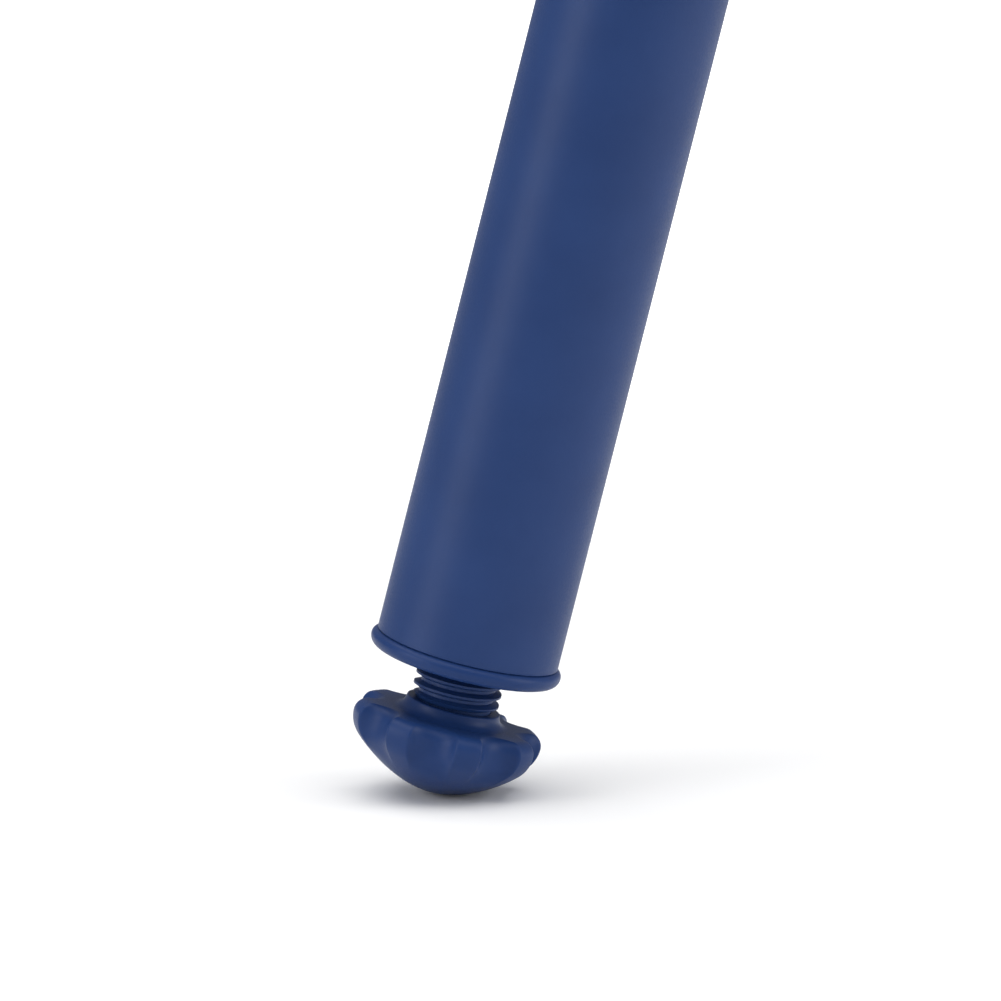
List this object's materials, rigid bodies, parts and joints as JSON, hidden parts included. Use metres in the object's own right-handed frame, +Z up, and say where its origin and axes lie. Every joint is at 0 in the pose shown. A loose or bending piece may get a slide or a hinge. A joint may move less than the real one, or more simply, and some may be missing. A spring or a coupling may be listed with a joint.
{
  "type": "splayed furniture leg with levelling foot",
  "caption": "Splayed round tubular furniture leg with a cast mounting head and a lobed, domed screw foot for levelling.",
  "frame": {"origin": "centre of the mounting face, on the top of the gasket, where the leg's axis meets it", "axes": "+Z up, out of the mounting face; the leg leans in the XZ plane, its foot down and towards -X; Y across the leg"},
  "size_m": [0.1852, 0.11, 0.4377],
  "materials": {
    "powder_coat": "fine-textured satin powder coat, deep blue",
    "blue_moulding": "satin moulded nylon, deep blue",
    "black_moulding": "glass-filled nylon, black",
    "gasket_rubber": "smooth matt rubber sheet",
    "stainless": "plain stainless steel"
  },
  "bodies": {
    "leg": {"leg_tube": "powder_coat", "mount_head": "powder_coat", "mount_gasket": "gasket_rubber", "head_screws": "stainless", "foot_plug": "blue_moulding", "thread_bush": "black_moulding"},
    "stop": {"travel_stop": "black_moulding"},
    "foot": {"foot_stud": "powder_coat", "foot_knob": "blue_moulding", "stop_screw": "stainless"}
  },
  "joints": [
    {"name": "foot_travel", "type": "slide", "parent": "leg", "child": "stop", "axis": [-0.2419, 0, -0.9703], "range_m": [-0.0105, 0.015]},
    {"name": "foot_turn", "type": "hinge", "parent": "stop", "child": "foot", "pos_m": [-0.09919, 0, -0.39782], "axis": [-0.2419, 0, -0.9703], "range_deg": [-1260, 1800]}
  ],
  "couplings": [
    {"joint": "foot_travel", "follows": "foot_turn", "m_per_rad": 0.00047746}
  ]
}
